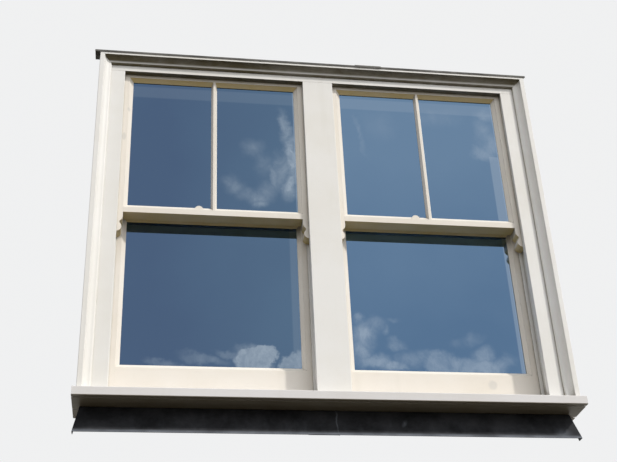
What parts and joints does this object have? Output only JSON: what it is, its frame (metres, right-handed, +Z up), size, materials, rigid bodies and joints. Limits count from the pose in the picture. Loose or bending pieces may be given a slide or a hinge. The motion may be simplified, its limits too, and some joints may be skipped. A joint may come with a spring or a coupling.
{
  "type": "sash window",
  "caption": "Painted timber box sash window with double-hung lights in a boxed frame, moulded surround, projecting sill and lead flashings.",
  "frame": {"origin": "on the underside of the sill, midway along it, in the middle of the flat bed behind the lead apron's groove", "axes": "+X across the window to the right as seen from outside, +Y from outside to the room, +Z up"},
  "size_m": [1.725, 0.204, 1.5788],
  "materials": {
    "painted_timber": "aged off-white gloss paint on timber",
    "lead_sheet": "weathered lead",
    "lead_weight": "cast lead",
    "glass": "clear sealed unit",
    "brass": "satin",
    "cord": "braided cotton"
  },
  "bodies": {
    "frame": {"sill": "painted_timber", "head_board": "painted_timber", "pulley_stiles": "painted_timber", "outer_lining_left": "painted_timber", "outer_lining_right": "painted_timber", "outer_lining_head": "painted_timber", "mullion_lining": "painted_timber", "inner_linings": "painted_timber", "weight_box_boards": "painted_timber", "architrave_left": "painted_timber", "architrave_right": "painted_timber", "architrave_head": "painted_timber", "head_flashing": "lead_sheet", "sill_apron": "lead_sheet", "parting_beads": "painted_timber", "staff_beads": "painted_timber", "pocket_pieces": "painted_timber", "pulley_cases": "brass", "sash_cords_upper_left": "cord", "sash_cords_lower_left": "cord", "sash_cords_upper_right": "cord", "sash_cords_lower_right": "cord"},
    "upper_sash_left": {"upper_left_stiles": "painted_timber", "upper_left_rails": "painted_timber", "upper_left_glass": "glass", "upper_left_glazing_beads": "painted_timber", "upper_left_glazing_bar": "painted_timber", "fastener_left_keeper": "brass"},
    "sash_weights_upper_left": {"sash_weights_upper_left": "lead_weight"},
    "pulley_wheel_upper_left_l": {"pulley_wheel_upper_left_l": "brass"},
    "pulley_wheel_upper_left_r": {"pulley_wheel_upper_left_r": "brass"},
    "lower_sash_left": {"lower_left_stiles": "painted_timber", "lower_left_rails": "painted_timber", "lower_left_glass": "glass", "lower_left_glazing_beads": "painted_timber", "lower_left_lifts": "brass", "fastener_left_base": "brass"},
    "sash_weights_lower_left": {"sash_weights_lower_left": "lead_weight"},
    "pulley_wheel_lower_left_l": {"pulley_wheel_lower_left_l": "brass"},
    "pulley_wheel_lower_left_r": {"pulley_wheel_lower_left_r": "brass"},
    "fastener_left_arm": {"fastener_left_arm": "brass"},
    "upper_sash_right": {"upper_right_stiles": "painted_timber", "upper_right_rails": "painted_timber", "upper_right_glass": "glass", "upper_right_glazing_beads": "painted_timber", "upper_right_glazing_bar": "painted_timber", "fastener_right_keeper": "brass"},
    "sash_weights_upper_right": {"sash_weights_upper_right": "lead_weight"},
    "pulley_wheel_upper_right_l": {"pulley_wheel_upper_right_l": "brass"},
    "pulley_wheel_upper_right_r": {"pulley_wheel_upper_right_r": "brass"},
    "lower_sash_right": {"lower_right_stiles": "painted_timber", "lower_right_rails": "painted_timber", "lower_right_glass": "glass", "lower_right_glazing_beads": "painted_timber", "lower_right_lifts": "brass", "fastener_right_base": "brass"},
    "sash_weights_lower_right": {"sash_weights_lower_right": "lead_weight"},
    "pulley_wheel_lower_right_l": {"pulley_wheel_lower_right_l": "brass"},
    "pulley_wheel_lower_right_r": {"pulley_wheel_lower_right_r": "brass"},
    "fastener_right_arm": {"fastener_right_arm": "brass"}
  },
  "joints": [
    {"name": "upper_sash_left_slide", "type": "slide", "parent": "frame", "child": "upper_sash_left", "axis": [0, 0, -1], "range_m": [0, 0.595], "deforming": ["sash_cords_upper_left"]},
    {"name": "sash_weights_upper_left_slide", "type": "slide", "parent": "frame", "child": "sash_weights_upper_left", "axis": [0, 0, 1], "range_m": [0, 0.595]},
    {"name": "pulley_wheel_upper_left_l_spin", "type": "hinge", "parent": "frame", "child": "pulley_wheel_upper_left_l", "pos_m": [-0.775, -0.0635, 1.27], "axis": [0, 1, 0], "continuous": true},
    {"name": "pulley_wheel_upper_left_r_spin", "type": "hinge", "parent": "frame", "child": "pulley_wheel_upper_left_r", "pos_m": [-0.033, -0.0635, 1.27], "axis": [0, 1, 0], "continuous": true},
    {"name": "lower_sash_left_slide", "type": "slide", "parent": "frame", "child": "lower_sash_left", "axis": [0, 0, 1], "range_m": [0, 0.53], "deforming": ["sash_cords_lower_left"]},
    {"name": "sash_weights_lower_left_slide", "type": "slide", "parent": "frame", "child": "sash_weights_lower_left", "axis": [0, 0, -1], "range_m": [0, 0.53]},
    {"name": "pulley_wheel_lower_left_l_spin", "type": "hinge", "parent": "frame", "child": "pulley_wheel_lower_left_l", "pos_m": [-0.775, -0.0065, 1.27], "axis": [0, 1, 0], "continuous": true},
    {"name": "pulley_wheel_lower_left_r_spin", "type": "hinge", "parent": "frame", "child": "pulley_wheel_lower_left_r", "pos_m": [-0.033, -0.0065, 1.27], "axis": [0, 1, 0], "continuous": true},
    {"name": "fastener_left_arm_turn", "type": "hinge", "parent": "lower_sash_left", "child": "fastener_left_arm", "pos_m": [-0.446, -0.0135, 0.785], "axis": [0, 0, -1], "range_deg": [0, 90]},
    {"name": "upper_sash_right_slide", "type": "slide", "parent": "frame", "child": "upper_sash_right", "axis": [0, 0, -1], "range_m": [0, 0.595], "deforming": ["sash_cords_upper_right"]},
    {"name": "sash_weights_upper_right_slide", "type": "slide", "parent": "frame", "child": "sash_weights_upper_right", "axis": [0, 0, 1], "range_m": [0, 0.595]},
    {"name": "pulley_wheel_upper_right_l_spin", "type": "hinge", "parent": "frame", "child": "pulley_wheel_upper_right_l", "pos_m": [0.033, -0.0635, 1.27], "axis": [0, 1, 0], "continuous": true},
    {"name": "pulley_wheel_upper_right_r_spin", "type": "hinge", "parent": "frame", "child": "pulley_wheel_upper_right_r", "pos_m": [0.775, -0.0635, 1.27], "axis": [0, 1, 0], "continuous": true},
    {"name": "lower_sash_right_slide", "type": "slide", "parent": "frame", "child": "lower_sash_right", "axis": [0, 0, 1], "range_m": [0, 0.53], "deforming": ["sash_cords_lower_right"]},
    {"name": "sash_weights_lower_right_slide", "type": "slide", "parent": "frame", "child": "sash_weights_lower_right", "axis": [0, 0, -1], "range_m": [0, 0.53]},
    {"name": "pulley_wheel_lower_right_l_spin", "type": "hinge", "parent": "frame", "child": "pulley_wheel_lower_right_l", "pos_m": [0.033, -0.0065, 1.27], "axis": [0, 1, 0], "continuous": true},
    {"name": "pulley_wheel_lower_right_r_spin", "type": "hinge", "parent": "frame", "child": "pulley_wheel_lower_right_r", "pos_m": [0.775, -0.0065, 1.27], "axis": [0, 1, 0], "continuous": true},
    {"name": "fastener_right_arm_turn", "type": "hinge", "parent": "lower_sash_right", "child": "fastener_right_arm", "pos_m": [0.362, -0.0135, 0.785], "axis": [0, 0, -1], "range_deg": [0, 90]}
  ],
  "couplings": [
    {"joint": "sash_weights_upper_left_slide", "follows": "upper_sash_left_slide", "ratio": 1},
    {"joint": "pulley_wheel_upper_left_l_spin", "follows": "upper_sash_left_slide", "rad_per_m": 50},
    {"joint": "pulley_wheel_upper_left_r_spin", "follows": "upper_sash_left_slide", "rad_per_m": -50},
    {"joint": "sash_weights_lower_left_slide", "follows": "lower_sash_left_slide", "ratio": 1},
    {"joint": "pulley_wheel_lower_left_l_spin", "follows": "lower_sash_left_slide", "rad_per_m": -50},
    {"joint": "pulley_wheel_lower_left_r_spin", "follows": "lower_sash_left_slide", "rad_per_m": 50},
    {"joint": "sash_weights_upper_right_slide", "follows": "upper_sash_right_slide", "ratio": 1},
    {"joint": "pulley_wheel_upper_right_l_spin", "follows": "upper_sash_right_slide", "rad_per_m": 50},
    {"joint": "pulley_wheel_upper_right_r_spin", "follows": "upper_sash_right_slide", "rad_per_m": -50},
    {"joint": "sash_weights_lower_right_slide", "follows": "lower_sash_right_slide", "ratio": 1},
    {"joint": "pulley_wheel_lower_right_l_spin", "follows": "lower_sash_right_slide", "rad_per_m": -50},
    {"joint": "pulley_wheel_lower_right_r_spin", "follows": "lower_sash_right_slide", "rad_per_m": 50}
  ]
}
